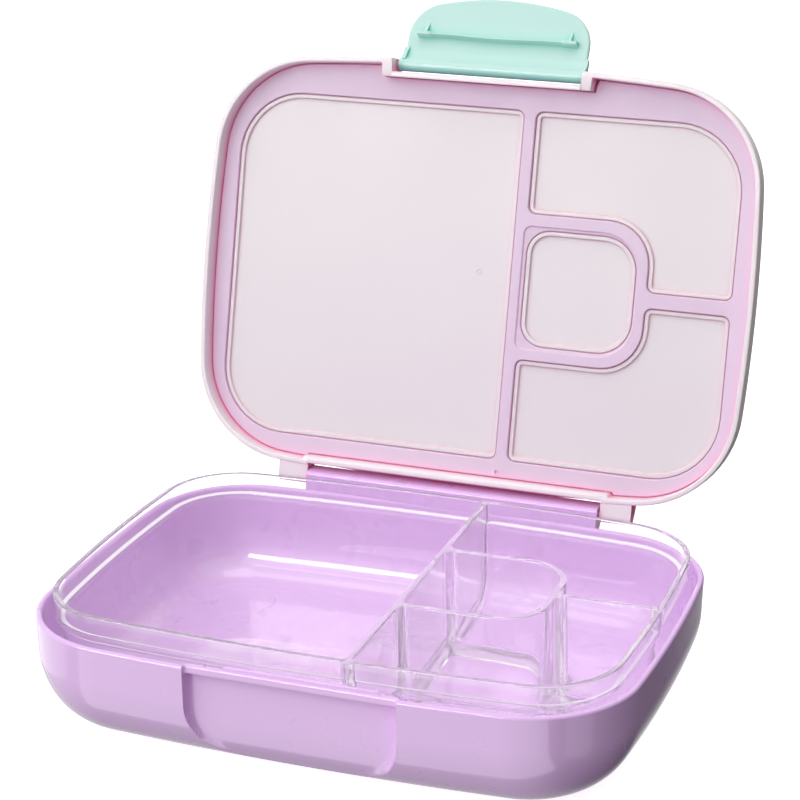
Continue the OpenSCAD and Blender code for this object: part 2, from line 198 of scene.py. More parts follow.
def soft_poly(points, radii, d):
    """Closed path of square corners, every side moved in by d and every corner rounded."""
    m = len(points)
    moved, convex = [], []
    for i in range(m):
        a = Vector(points[i]) - Vector(points[i - 1])
        b = Vector(points[(i + 1) % m]) - Vector(points[i])
        na = Vector((-a.y, a.x)).normalized()
        nb = Vector((-b.y, b.x)).normalized()
        moved.append(Vector(points[i]) + d * (na + nb))
        convex.append(a.x * b.y - a.y * b.x > 0)
    out = []
    for i in range(m):
        r = max(SHARPEST, radii[i] - d) if convex[i] else radii[i] + d
        out += round_corner(moved[i - 1], moved[i], moved[(i + 1) % m], r, 10)
    return out


class Build:
    """Collects vertices and faces of one mesh."""

    def __init__(self):
        self.verts, self.faces = [], []

    def ring(self, pts):
        first = len(self.verts)
        self.verts += [tuple(p) for p in pts]
        return list(range(first, first + len(pts)))

    def bridge(self, a, b):
        n = len(a)
        for k in range(n):
            j = (k + 1) % n
            self.faces.append((a[k], a[j], b[j], b[k]))

    def loft(self, rings):
        """Skins the rings one after the other, and returns the first and the last loop."""
        loops = [self.ring(r) for r in rings]
        for a, b in zip(loops, loops[1:]):
            self.bridge(a, b)
        return loops[0], loops[-1]

    def fill(self, *loops):
        """Flat face inside the first loop and outside the others."""
        flat = [i for loop in loops for i in loop]
        for t in tessellate_polygon([[Vector(self.verts[i]) for i in loop] for loop in loops]):
            self.faces.append(tuple(flat[k] for k in t))

    def closed_loft(self, rings):
        first, last = self.loft(rings)
        self.fill(first)
        self.fill(last)

    def prism(self, poly, x0, x1, holes=()):
        """Extrudes a closed (y, z) path from x0 to x1."""
        ends = [[self.ring(across(x, path)) for path in (poly, *holes)] for x in (x0, x1)]
        for a, b in zip(*ends):
            self.bridge(a, b)
        self.fill(*ends[0])
        self.fill(*ends[1])


# how close two points merge, in metres, and how sharp an edge must be to get a bevel
MERGE, BEVEL_DEG = 1e-7, 38


def finish_mesh(name, build, material, body, nodes=(), matrix=None, sharp=35, bevel=0.0):
    """Makes the object, in metres, and says what it rides on and which CAD nodes it replaces."""
    me = bpy.data.meshes.new(name)
    m = matrix or Matrix.Identity(4)
    me.from_pydata([(m @ Vector(v)) * MM for v in build.verts], [], build.faces)
    bm = bmesh.new()
    bm.from_mesh(me)
    bmesh.ops.remove_doubles(bm, verts=bm.verts, dist=MERGE)
    bmesh.ops.dissolve_degenerate(bm, edges=bm.edges, dist=MERGE)
    bmesh.ops.recalc_face_normals(bm, faces=bm.faces)
    bm.to_mesh(me)
    bm.free()
    me.shade_smooth()
    ob = bpy.data.objects.new(name, me)
    bpy.context.scene.collection.objects.link(ob)
    me.materials.append(material)
    if bevel:
        b = ob.modifiers.new("edges", "BEVEL")
        b.width = bevel * MM
        b.segments = 3
        b.limit_method = "ANGLE"
        b.angle_limit = math.radians(BEVEL_DEG)
        b.harden_normals = False
    me.set_sharp_from_angle(angle=math.radians(sharp))
    w = ob.modifiers.new("normals", "WEIGHTED_NORMAL")
    w.keep_sharp = True
    w.weight = 60
    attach(ob, body)
    if nodes:
        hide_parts(*nodes)


# ---------------------------------------------------------------- materials
def new_material(name):
    m = bpy.data.materials.new(name)
    m.use_nodes = True
    nt = m.node_tree
    bsdf = nt.nodes["Principled BSDF"]
    return m, nt, bsdf


def add(nt, kind, **props):
    n = nt.nodes.new(kind)
    for k, v in props.items():
        setattr(n, k, v)
    return n


def noise(nt, scale, detail=2.0, rough=0.5, stretch=(1, 1, 1)):
    co = add(nt, "ShaderNodeTexCoord")
    mp = add(nt, "ShaderNodeMapping")
    mp.inputs["Scale"].default_value = stretch
    nt.links.new(co.outputs["Object"], mp.inputs["Vector"])
    n = add(nt, "ShaderNodeTexNoise")
    n.inputs["Scale"].default_value = scale
    n.inputs["Detail"].default_value = detail
    n.inputs["Roughness"].default_value = rough
    nt.links.new(mp.outputs["Vector"], n.inputs["Vector"])
    return n.outputs["Fac"]


def ramp(nt, fac, lo, hi, a=0.3, b=0.7, **props):
    """Maps a..b to lo..hi, and holds the end values outside."""
    r = add(nt, "ShaderNodeMapRange", **props)
    for key, v in (("From Min", a), ("From Max", b), ("To Min", lo), ("To Max", hi)):
        r.inputs[key].default_value = v
    nt.links.new(fac, r.inputs["Value"])
    return r.outputs["Result"]


def calc(nt, operation, *values):
    """A Math node; each value is another node's output or a number."""
    n = add(nt, "ShaderNodeMath", operation=operation)
    for socket, v in zip(n.inputs, values):
        if isinstance(v, (int, float)):
            socket.default_value = v
        else:
            nt.links.new(v, socket)
    return n.outputs[0]


def split(nt, vector):
    n = add(nt, "ShaderNodeSeparateXYZ")
    nt.links.new(vector, n.inputs[0])
    return n


def two_tone(nt, fac, c0, c1):
    mx = add(nt, "ShaderNodeMix", data_type="RGBA")
    mx.inputs["A"].default_value = (*c0, 1)
    mx.inputs["B"].default_value = (*c1, 1)
    nt.links.new(fac, mx.inputs["Factor"])
    return mx.outputs["Result"]


def bump(nt, bsdf, height, strength, distance):
    b = add(nt, "ShaderNodeBump")
    b.inputs["Strength"].default_value = strength
    b.inputs["Distance"].default_value = distance
    nt.links.new(height, b.inputs["Height"])
    nt.links.new(b.outputs["Normal"], bsdf.inputs["Normal"])


def painted_corner_shade(nt, colour, shade_colour, distance, local, full=0.88):
    """Painted shade: an Ambient Occlusion mask mixes a deeper, darker colour into corners and creases. It
    stands in for the shade and coloured bounce light between close walls of tinted plastic.
    """
    ao = add(nt, "ShaderNodeAmbientOcclusion", samples=12, only_local=local)
    ao.inputs["Distance"].default_value = distance
    mx = add(nt, "ShaderNodeMix", data_type="RGBA")
    # painted shade colour, used where Ambient Occlusion finds walls close by
    mx.inputs["A"].default_value = (*shade_colour, 1)
    nt.links.new(colour, mx.inputs["B"])
    nt.links.new(ramp(nt, ao.outputs["AO"], 0, 1, full - 0.5, full), mx.inputs["Factor"])
    return mx.outputs["Result"]


def moulded(name, tones, shade_colour, rough, grain, relief, coat=0.0, reach=0.005, local=False, full=0.88):
    """Moulded plastic: slow colour drift, patches of gloss, a fine skin, and painted shade in corners."""
    m, nt, b = new_material(name)
    colour = two_tone(nt, ramp(nt, noise(nt, 14.0, 3.0), 0, 1), *tones)
    # painted shade: a deeper colour is mixed in where walls lie close
    nt.links.new(painted_corner_shade(nt, colour, shade_colour, reach, local, full), b.inputs["Base Color"])
    nt.links.new(ramp(nt, noise(nt, 60.0, 4.0, 0.6), *rough), b.inputs["Roughness"])
    bump(nt, b, noise(nt, grain, 3.0, 0.6), relief, 0.00004)
    b.inputs["IOR"].default_value = 1.5
    b.inputs["Coat Weight"].default_value = coat
    b.inputs["Coat Roughness"].default_value = 0.03
    return m


# Each material below also gets a darker, more saturated colour that is painted shade in its corners and
# creases.
lilac = moulded("base_lilac", tones=((0.717, 0.453, 0.806), (0.728, 0.466, 0.815)), shade_colour=(0.76, 0.34, 0.82),
                rough=(0.27, 0.285), grain=900, relief=0.004, coat=0.8, reach=0.012, local=True)
pink = moulded("lid_pink", tones=((0.80, 0.725, 0.755), (0.815, 0.745, 0.77)), shade_colour=(0.97, 0.36, 0.52),
               rough=(0.30, 0.40), grain=1500, relief=0.16, full=0.96)
field = moulded("liner_pink", tones=((0.715, 0.665, 0.69), (0.73, 0.685, 0.705)), shade_colour=(0.80, 0.44, 0.55),
                rough=(0.36, 0.46), grain=1800, relief=0.2)
mint = moulded("latch_mint", tones=((0.475, 0.71, 0.66), (0.49, 0.72, 0.67)), shade_colour=(0.20, 0.66, 0.56),
               rough=(0.31, 0.335), grain=1200, relief=0.05, coat=0.1)


def silicone():
    m, nt, b = new_material("seal_lilac")
    colour = two_tone(nt, ramp(nt, noise(nt, 20.0, 3.0), 0, 1), (0.71, 0.565, 0.705), (0.73, 0.59, 0.725))
    # painted shade: a deeper lilac-pink is mixed in at the seal's corners and creases
    nt.links.new(painted_corner_shade(nt, colour, (0.88, 0.54, 0.76), 0.0045, False), b.inputs["Base Color"])
    nt.links.new(ramp(nt, noise(nt, 120.0, 4.0), 0.42, 0.56), b.inputs["Roughness"])
    bump(nt, b, noise(nt, 2400, 2.0, 0.6), 0.2, 0.00003)
    b.inputs["IOR"].default_value = 1.43
    b.inputs["Sheen Weight"].default_value = 0.15
    b.inputs["Sheen Roughness"].default_value = 0.4
    return m


def clear():
    m, nt, b = new_material("tray_clear")
    colour = two_tone(nt, ramp(nt, noise(nt, 9.0, 2.0), 0, 1), (0.98, 0.965, 0.985), (0.99, 0.98, 0.995))
    nt.links.new(colour, b.inputs["Base Color"])
    nt.links.new(ramp(nt, noise(nt, 45.0, 3.0), 0.0, 0.012), b.inputs["Roughness"])
    bump(nt, b, noise(nt, 60.0, 1.0, 0.4), 0.04, 0.0002)
    b.inputs["IOR"].default_value = 1.46
    # painted highlight: the step inside the wall, where it faces up, and the top edge lose some transmission
    # and show as pale lines, like edges catching light; heights in metres
    co = add(nt, "ShaderNodeTexCoord")
    z = split(nt, co.outputs["Object"]).outputs["Z"]
    faces_up = ramp(nt, split(nt, co.outputs["Normal"]).outputs["Z"], 0, 1, 0.35, 0.7)
    in_step = calc(nt, "MULTIPLY", ramp(nt, z, 0, 1, 0.0368, 0.0370), ramp(nt, z, 1, 0, 0.0373, 0.0375))
    top_edge = ramp(nt, z, 0, 0.16, 0.0438, 0.0442)
    painted_highlight = calc(nt, "MAXIMUM", calc(nt, "MULTIPLY", faces_up, in_step), top_edge)
    # painted highlight: less transmission on these bands makes them read as pale lines
    nt.links.new(ramp(nt, painted_highlight, 0.945, 0.30, 0, 1), b.inputs["Transmission Weight"])
    # shadows, and light that has been scattered once, pass the clear wall almost straight
    lp = add(nt, "ShaderNodeLightPath")
    straight = calc(nt, "MAXIMUM", lp.outputs["Is Shadow Ray"], lp.outputs["Is Diffuse Ray"])
    nt.links.new(calc(nt, "MULTIPLY_ADD", straight, -0.96, 1.0), b.inputs["Alpha"])
    return m


def steel():
    m, nt, b = new_material("pin_steel")
    n = noise(nt, 300.0, 3.0, 0.6, (0.05, 1, 1))
    nt.links.new(two_tone(nt, n, (0.62, 0.63, 0.65), (0.74, 0.75, 0.77)), b.inputs["Base Color"])
    nt.links.new(ramp(nt, n, 0.22, 0.38), b.inputs["Roughness"])
    b.inputs["Metallic"].default_value = 1.0
    bump(nt, b, n, 0.2, 0.00002)
    return m


seal_mat, clear_mat, steel_mat = silicone(), clear(), steel()

# ---------------------------------------------------------------- base
box = Outline(HX, HY, CORNER, LONG_R, SHORT_R)
# the points along the long sides lie close together where the recess and its rounded corners are
base_xs = [64, 58, 52, 46, 42, 39.5, 38.2, 37.6, 37.35, 37.2] + [37.15 - 0.15 * k for k in range(30)]
base_xs += [32.4 - 0.8 * k for k in range(21)] + [14, 10, 5, 0]
# depth of the recess where the rounded foot begins
REC_STEP = REC_Y + HY - LOW_INSET

# radius and height of the rings of one foot: the dimple underneath, and the low boss inside
FOOT_DIMPLE = ((11.2, 0), (11.05, 0.08), (11, 0.3), (10.9, 0.52), (10.7, 0.6))
FOOT_BOSS = ((12.3, FLOOR), (12.1, 2.46), (12, 2.6), (11.9, 2.76), (11.6, 2.82))


def recess(x, z, soft):
    """How deep the recess is at a point of the front wall, from 0 at its edge to 1."""
    qx = abs(x) - (REC_W - REC_R)
    qz = REC_Z + REC_R - z
    r = math.hypot(qx, qz) if qx > 0 and qz > 0 else max(qx, qz)
    t = clamp01((REC_R - r) / soft)
    return math.sqrt(1 - (1 - t) ** 2)


def foot_recess_y(z, d):
    """Back of the recess: a step that shrinks as it follows the rounded foot."""
    return -HY + d + REC_STEP * smooth(-4.0, FOOT_H, z)


def base_ring(d, z, back, soft=REC_SOFT):
    """Ring of the base moved in by d, with the recess pushed in as far as y = back."""
    out = []
    for x, y in box.ring(d, base_xs):
        if y < back and abs(x) < REC_W:
            y += (back - y) * recess(x, z, soft)
        out.append((x, y, z))
    return out


def foot_ring(d, z):
    return base_ring(d, z, foot_recess_y(z, d))


def make_base():
    b = Build()
    rings = []
    # outside, from the underside up over the rounded foot, the wall and the ledge
    for k in range(30, -1, -1):
        a = math.pi / 2 * k / 30
        rings.append(foot_ring(LOW_INSET + FOOT_W * (1 - math.cos(a)), FOOT_H * (1 - math.sin(a))))
    for z in (27.2, 28.4, 29.6, 30.8, 32, 33, 33.8, 34.3, 34.6):
        lean = LOW_INSET + (TOP_INSET - LOW_INSET) * (z - FOOT_H) / (LEDGE_Z - FOOT_H)
        rings.append(base_ring(lean, z, REC_Y))
    for z, t in ((34.75, 0.04), (34.86, 0.35), (34.94, 0.7), (35.05, 0.92), (35.3, 1.0), (36, 1.0)):
        soft = REC_SOFT + (LEDGE_SOFT - REC_SOFT) * t
        rings.append(base_ring(TOP_INSET, z, REC_Y + (LEDGE_Y - REC_Y) * t, soft))
    # round rim
    rim_inset = 0.05
    for t in spread(0, math.pi, 12):
        d = rim_inset + RIM_R * (1 - math.cos(t))
        rings.append(base_ring(d, RIM_Z - RIM_R * (1 - math.sin(t)), LEDGE_Y + d, LEDGE_SOFT))
    # inside, down to the floor
    for z, t in ((36.7, 0.0), (36.4, 0.3), (36.1, 0.8), (35.8, 1.0), (34, 1.0), (31, 1.0), (28.5, 1.0)):
        soft = LEDGE_SOFT + (REC_SOFT - LEDGE_SOFT) * t
        rings.append(base_ring(WALL + TOP_INSET, z, LEDGE_Y + WALL + (REC_Y - LEDGE_Y) * t, soft))
    for k in range(25):
        a = math.pi / 2 * k / 24
        d = WALL + LOW_INSET + (FOOT_W - WALL) * (1 - math.cos(a))
        rings.append(foot_ring(d, FLOOR + (FOOT_H - FLOOR) * (1 - math.sin(a))))
    under, floor_loop = b.loft(rings)
    dimples, bosses = [], []
    for sx in (-1, 1):
        for sy in (-1, 1):
            for profile, openings in ((FOOT_DIMPLE, dimples), (FOOT_BOSS, bosses)):
                first, last = b.loft([at(circle((sx * FOOT_X, sy * FOOT_Y), r, 48), z) for r, z in profile])
                openings.append(first)
                b.fill(last)
    b.fill(under, *dimples)
    b.fill(floor_loop, *bosses)
    finish_mesh("base_shell_body", b, lilac, "base", ["base_shell"], sharp=50)


def make_hinge_block():
    b = Build()
    y, z = HINGE_Y, HINGE_Z
    back = [(78.6, 31.8), (79.6, 31.9), (y + 2.0, z - 4.5), (y + 3.4, z - 3.0), (y + 3.8, z + 2.4),
            (y + 3.7, z + 2.8), (y + 3.5, z + 3.1)]
    corner = arc_pts((y - 3.1, z + 1.8), 1.4, math.radians(90), math.radians(180), 8)
    b.prism(back + corner + [(77.72, z - 1), (77.62, 38.2), (77.6, 33.4)], -BLOCK_L / 2, BLOCK_L / 2)
    finish_mesh("hinge_block", b, lilac, "base", (), bevel=0.3)


# x from and to, height over the rim, y from and to, and the length of the sloping ends
UPSTANDS = (
    (-24.2, 31.5, 1.25, -76.6, -75.6, 0.9),
    (-31.0, -29.8, 0.9, -76.4, -75.4, 0.5),
    (38.4, 39.6, 0.42, -76.6, -75.4, 0.5),
)


def make_upstand():
    """Low strip behind the catch ledge, with a small bump beyond each end."""
    b = Build()
    for x0, x1, top, y0, y1, slope in UPSTANDS:
        rings = []
        for x in spread(x0, x1, 40):
            h = top * smooth(-0.05, slope, min(x - x0, x1 - x)) + 0.02
            rings.append(across(x, [
                (y0, 37.4), (y0, 37.8 + h * 0.75), (y0 + 0.3, 37.85 + h),
                (y1 - 0.3, 37.85 + h), (y1, 37.8 + h * 0.75), (y1, 37.4),
            ]))
        b.closed_loft(rings)
    finish_mesh("rim_upstand", b, lilac, "base", (), sharp=60)


make_base()
make_hinge_block()
make_upstand()

# ---------------------------------------------------------------- tray
tray = Outline(TRAY_HX, TRAY_HY, TRAY_R, LONG_R, SHORT_R, TRAY_CY)
HALF = DIV_T / 2
# places in the list that tray.arcs gives
RIGHT, REAR_RIGHT, REAR, REAR_LEFT, FRONT_LEFT, FRONT, FRONT_RIGHT = 0, 1, 2, 3, 5, 6, 7
# radii in plan: where a divider meets the wall, where it meets another, and round the middle pocket
WALL_FILLET, FOOT_FILLET, LOOP_OUT_R, LOOP_IN_R = 2.2, 3.5, 17.0, 15.0
# dividers grow thicker downwards by this much a side, from THIN_Z over THICKEN_H
THICKEN, THIN_Z, THICKEN_H = 0.9, 44.0, 35.2


def on_long_side(arc, x, rear):
    """Centre of the fillet at x inside the rear or front wall, and its direction from the arc's centre."""
    (cx, cy), r = arc[0], arc[1] - WALL_FILLET
    rise = math.sqrt(r * r - x * x)
    y = cy + rise if rear else cy - rise
    return (x, y), math.atan2(y - cy, x - cx)


def on_right_side(arc, y):
    """The same inside the right wall, at y."""
    (cx, cy), r = arc[0], arc[1] - WALL_FILLET
    x = cx + math.sqrt(r ** 2 - (y - cy) ** 2)
    return (x, y), math.atan2(y - cy, x - cx)


def left_pocket(arcs, dd):
    x = DIV - HALF - dd - WALL_FILLET
    rear, front = arcs[REAR], arcs[FRONT]
    centre, t = on_long_side(rear, x, True)
    pts = arc_pts(centre, WALL_FILLET, 0, t, 8)
    pts += arc_pts(rear[0], rear[1], t, rear[3], 24)[1:]
    for arc in arcs[REAR_LEFT : FRONT_LEFT + 1]:
        pts += arc_pts(*arc, 14)[1:]
    centre, t = on_long_side(front, x, False)
    t += 2 * math.pi
    pts += arc_pts(front[0], front[1], front[2], t, 24)[1:]
    pts += arc_pts(centre, WALL_FILLET, t, 2 * math.pi, 8)[1:]
    return pts


def rear_pocket(arcs, dd):
    x0, x1 = DIV + HALF + dd, MID_X + HALF + dd
    y_loop, y_cross = MID_Y1 + HALF + dd, CROSS + HALF + dd
    side, rear = arcs[RIGHT], arcs[REAR]
    first, t1 = on_right_side(side, y_cross + WALL_FILLET)
    last, t2 = on_long_side(rear, x0 + WALL_FILLET, True)
    pts = arc_pts(first, WALL_FILLET, -math.pi / 2, t1, 8)
    pts += arc_pts(side[0], side[1], t1, side[3], 12)[1:]
    pts += arc_pts(*arcs[REAR_RIGHT], 14)[1:]
    pts += arc_pts(rear[0], rear[1], rear[2], t2, 16)[1:]
    pts += arc_pts(last, WALL_FILLET, t2, math.pi, 8)[1:]
    pts += round_corner((x0, TRAY_HY), (x0, y_loop), (x1, y_loop), FOOT_FILLET, 8)
    pts += round_corner((x0, y_loop), (x1, y_loop), (x1, y_cross), LOOP_OUT_R + dd, 14)
    pts += round_corner((x1, y_loop), (x1, y_cross), (TRAY_HX, y_cross), FOOT_FILLET, 8)
    return pts


def front_pocket(arcs, dd):
    x0, x1 = DIV + HALF + dd, MID_X + HALF + dd
    y_loop, y_cross = MID_Y0 - HALF - dd, CROSS - HALF - dd
    turn = 2 * math.pi
    side, front, corner = arcs[RIGHT], arcs[FRONT], arcs[FRONT_RIGHT]
    first, t1 = on_long_side(front, x0 + WALL_FILLET, False)
    last, t2 = on_right_side(side, y_cross - WALL_FILLET)
    pts = arc_pts(first, WALL_FILLET, -math.pi, t1, 8)
    pts += arc_pts(front[0], front[1], t1, front[3] - turn, 16)[1:]
    pts += arc_pts(corner[0], corner[1], corner[2] - turn, corner[3] - turn, 14)[1:]
    pts += arc_pts(side[0], side[1], side[2], t2, 12)[1:]
    pts += arc_pts(last, WALL_FILLET, t2, math.pi / 2, 8)[1:]
    pts += round_corner((TRAY_HX, y_cross), (x1, y_cross), (x1, y_loop), FOOT_FILLET, 8)
    pts += round_corner((x1, y_cross), (x1, y_loop), (x0, y_loop), LOOP_OUT_R + dd, 14)
    pts += round_corner((x1, y_loop), (x0, y_loop), (x0, -TRAY_HY), FOOT_FILLET, 8)
    return pts


def middle_pocket(arcs, dd):
    x0, x1 = DIV + HALF + dd, MID_X - HALF - dd
    y0, y1 = MID_Y0 + HALF + dd, MID_Y1 - HALF - dd
    corners = [(x0, y0), (x1, y0), (x1, y1), (x0, y1)]
    tight, wide = max(0.8, 3 - dd * 0.3), LOOP_IN_R - dd
    pts = []
    for i, r in enumerate((tight, wide, wide, tight)):
        pts += round_corner(corners[i - 1], corners[i], corners[(i + 1) % 4], r, 12)
    return pts


def thicken(z):
    return THICKEN * (THIN_Z - z) / THICKEN_H


def pocket_levels():
    """Height, inset from the tray's outside and inset from the dividers, from the lip down to the floor."""
    low = TRAY_LOW + TRAY_FLOOR
    levels = []
    for degrees in (90, 67, 45, 22, 0):
        a = math.radians(degrees)
        flare = -TRAY_LIP * (1 - math.cos(a))
        levels.append((TRAY_TOP - TRAY_LIP * (1 - math.sin(a)), TRAY_T + flare, flare))
    levels += [(z, TRAY_T, thicken(z)) for z in (41, 38.6, 37.6)]
    # the step inside, which follows the one outside
    step = 1.8
    for z, t in ((37.4, 0.03), (37.25, 0.12), (37.17, 0.28), (37.1, 0.72), (37.0, 0.89), (36.8, 0.97),
                 (36.4, 1.0)):
        levels.append((z, TRAY_T + step * t, thicken(z)))
    for z in (32, 28, 24, 20.5):
        levels.append((z, TRAY_T + step + 0.3 * (36 - z) / 18, thicken(z)))
    # wide round foot against the wall, and a narrow one against the dividers
    taper, wall_w, wall_h, div_r = 0.3, 12.4, 13.2, 4.0
    for k in range(19):
        a = math.pi / 2 * k / 18
        z = low + wall_h * (1 - math.sin(a))
        t = clamp01(1 - (z - low) / div_r)
        dd = thicken(z) if t == 0 else THICKEN + div_r * (1 - math.sqrt(1 - t * t))
        levels.append((z, TRAY_T + step + taper + wall_w * (1 - math.cos(a)), dd))
    return levels


def outside_levels():
    """Inset and height from the underside up: rounded foot, wall, step, wall and lip."""
    levels = []
    foot_inset, foot_w, foot_h = 2.3, 14, 15
    for k in range(20, -1, -1):
        a = math.pi / 2 * k / 20
        levels.append((foot_inset + foot_w * (1 - math.cos(a)), TRAY_LOW + foot_h * (1 - math.sin(a))))
    levels += [(2.2, 22), (2.1, 27), (2.0, 31), (1.9, 33.6), (1.75, 34.3), (1.35, 34.9), (0.75, 35.4),
               (0.3, 35.9), (0.08, 36.5), (0, 37.2), (0, 40), (0, 43)]
    for degrees in (0, 22, 45, 67, 90):
        a = math.radians(degrees)
        levels.append((TRAY_LIP * (1 - math.cos(a)), TRAY_TOP - TRAY_LIP * (1 - math.sin(a))))
    return levels


def make_tray():
    b = Build()
    xs = [64, 56, 48, 40, 32, 24, 16, 8, 0]
    under, top = b.loft([at(tray.ring(d, xs, 6, 18), z) for d, z in outside_levels()])
    b.fill(under)
    mouths = []
    for pocket in (left_pocket, front_pocket, rear_pocket, middle_pocket):
        first, last = b.loft([at(pocket(tray.arcs(d), dd), z) for z, d, dd in pocket_levels()])
        mouths.append(first)
        b.fill(last)
    b.fill(top, *mouths)
    finish_mesh("tray_clear_body", b, clear_mat, "tray", ["tray"], sharp=60)


make_tray()

# ---------------------------------------------------------------- lid
# the points along the long sides lie close together at the ends of the notch and of the cut-out
lid_xs = [66, 62.5, 61.4, 61, 60.65, 60.3, 59.8, 59.3, 58.9, 58.7, 58.5, 58.3, 57.9, 57, 54, 50, 46, 43.5,
          42.2, 41.5, 41.1, 40.95, 40.8, 40.65, 40.5, 40, 39, 38, 37.5, 37.2, 37.05, 36.9, 36.75, 36.6, 36.2,
          35, 32, 26, 18, 9, 0]
# height where the hinge cut-out begins, and where the lid is cut in full
CUT_TOP, CUT_FULL = 45.85, 45.6
# inset of the innermost ring of the lid, whose middle is flat
MID_D = 34


def outer_lid_ring(d, z, lip=0.0):
    """Ring of the lid's outside, with the latch notch at the front and the hinge cut-out at the rear."""
    out = []
    for x, y in box.ring(d, lid_xs):
        if y < 0:
            back, t = NOTCH_Y + lip, smooth(NOTCH_W + 0.6, NOTCH_W, abs(x))
            y += max(0, back - y) * t
        else:
            back, t = CUT_Y - lip, smooth(CUT_W + 0.6, CUT_W, abs(x)) * smooth(CUT_TOP, CUT_FULL, z)
            y += min(0, back - y) * t
        out.append((x, y, z))
    return out


def inner_lid_ring(d, z):
    """Ring of the lid's inside, which keeps a wall behind the notch and the cut-out."""
    out = []
    for x, y in box.ring(d, lid_xs):
        if y < 0:
            y += max(0, NOTCH_Y + 2.0 - y) * smooth(NOTCH_W + 4.5, NOTCH_W + 3.9, abs(x))
        else:
            y += min(0, CUT_Y - 2.9 - y) * smooth(CUT_W + 2.7, CUT_W + 2.0, abs(x))
        out.append((x, y, z))
    return out


def make_lid():
    b = Build()
    rings = []
    # crowned top, rounded edge and side
    for d in (MID_D, 28, 22, 16, 11, 7.5):
        t = (MID_D - d) / (MID_D - LID_INSET - LID_EDGE_R)
        rings.append(outer_lid_ring(d, LID_Z1 - CROWN * t ** 2))
    for k in range(16, -1, -1):
        a = math.pi / 2 * k / 16
        rings.append(outer_lid_ring(LID_INSET + LID_EDGE_R * (1 - math.cos(a)),
                                    LID_Z1 - CROWN - LID_EDGE_R * (1 - math.sin(a))))
    # the levels lie close together where the hinge cut-out begins
    for z in (45.9, 45.85, 45.78, 45.72, 45.66, 45.6, 45.5, 44.8, 43.6, 42.5, 41.5, 40.6, 40):
        rings.append(outer_lid_ring(LID_INSET - 0.2 * (46 - z) / 6, z))
    # square rim with soft edges, which blends the outside into the inside
    middle, half, square = 1.15, 1.05, 0.5
    for t in spread(0, math.pi, 20):
        d = middle - half * math.copysign(abs(math.cos(t)) ** square, math.cos(t))
        z = LID_Z0 + half - half * abs(math.sin(t)) ** square
        w = smooth(0.55, 1.0, t / math.pi)
        pairs = zip(outer_lid_ring(d, z, d), inner_lid_ring(d, z))
        rings.append([tuple(o[i] * (1 - w) + q[i] * w for i in range(3)) for o, q in pairs])
    for d, z in ((2.25, 41), (2.35, 43), (2.45, 45), (2.5, 46), (2.7, 47), (3.2, 47.9), (4.0, 48.6),
                 (5.2, 49.1), (16, 49.3), (MID_D, 49.4)):
        rings.append(inner_lid_ring(d, z))
    b.closed_loft(rings)
    finish_mesh("lid_shell_body", b, pink, "lid", ["lid_shell"], LID, sharp=42)


def shrink(poly, t, c):
    return [(c[0] + (p[0] - c[0]) * t, c[1] + (p[1] - c[1]) * t) for p in poly]


def make_ears():
    """Ears with a hollow outer end that shows the pin."""
    middle, hollow = (80.6, 42.0), 2.4
    arc = arc_pts((HINGE_Y, HINGE_Z), EAR_R, math.radians(-90), math.radians(32), 20)
    poly = [(75.7, HINGE_Z - EAR_R)] + arc + [(82.4, 44.2), (80.4, 45.3), (78.9, 46.0), (75.7, 46.0)]
    hole = circle((HINGE_Y, HINGE_Z), PIN_R + PIN_GAP, 28)
    for side, name in ((-1, "lid_ear_left"), (1, "lid_ear_right")):
        b = Build()
        x0, x1 = side * CUT_W, side * (CUT_W + EAR_L)
        x2 = x1 - side * hollow
        rings = [b.ring(across(x0, poly)), b.ring(across(x1, poly)),
                 b.ring(across(x1, shrink(poly, 0.76, middle))),
                 b.ring(across(x2, shrink(poly, 0.72, middle)))]
        for first, last in zip(rings, rings[1:]):
            b.bridge(first, last)
        inner, outer = b.ring(across(x0, hole)), b.ring(across(x2, hole))
        b.bridge(inner, outer)
        b.fill(rings[0], inner)
        b.fill(rings[3], outer)
        finish_mesh(name, b, pink, "lid", (), LID, bevel=0.25)


def edge_line(d, front, rear):
    """Outline of what lies inside the lid, pulled in behind the notch and the hinge cut-out."""
    out = []
    for x, y in box.ring(d, lid_xs):
        if y < 0 and y < front:
            y += (front - y) * smooth(41.8, 41.0, abs(x))
        if y > rear:
            y += (rear - y) * smooth(61.4, 60.6, abs(x))
        out.append((x, y))
    return out


# windows of the seal, as square corners and the radius of each; the middle one is narrower at its back
WX, WY0, WY1 = 98.7, -63.4, 67.8
WINDOWS = [
    ([(-WX, WY0), (14.6, WY0), (14.6, WY1), (-WX, WY1)], [25, 3, 3, 25]),
    ([(19, WY0), (WX, WY0), (WX, -0.4), (66.6, -0.4), (66.6, -25.4), (19, -25.4)], [3, 25, 3, 3, 16, 3]),
    ([(19, 29.1), (66.6, 29.1), (66.6, 5.1), (WX, 5.1), (WX, WY1), (19, WY1)], [3, 16, 3, 3, 25, 3]),
]
MIDDLE_FRONT = ([(18.3, -20.9), (62.8, -20.9), (62.8, 25.1), (18.3, 25.1)], [3, 14, 14, 3])
MIDDLE_BACK = ([(19.6, -19.8), (62.3, -19.8), (62.3, 23.9), (19.6, 23.9)], [9, 13, 13, 9])

# inset and height over the seal's face of the rings round each opening
WINDOW_EDGE = ((-0.5, 0.0), (-0.28, 0.03), (-0.1, 0.15), (0.0, 0.4), (0.05, 1.1), (0.05, 1.58))
MIDDLE_FRONT_EDGE = ((-0.5, 0.0), (-0.28, 0.03), (-0.1, 0.15), (0.0, 0.35), (0.05, 0.6), (0.2, 0.72))
MIDDLE_BACK_EDGE = ((-0.35, 0.72), (-0.15, 0.76), (0.0, 0.95), (0.05, 1.58))
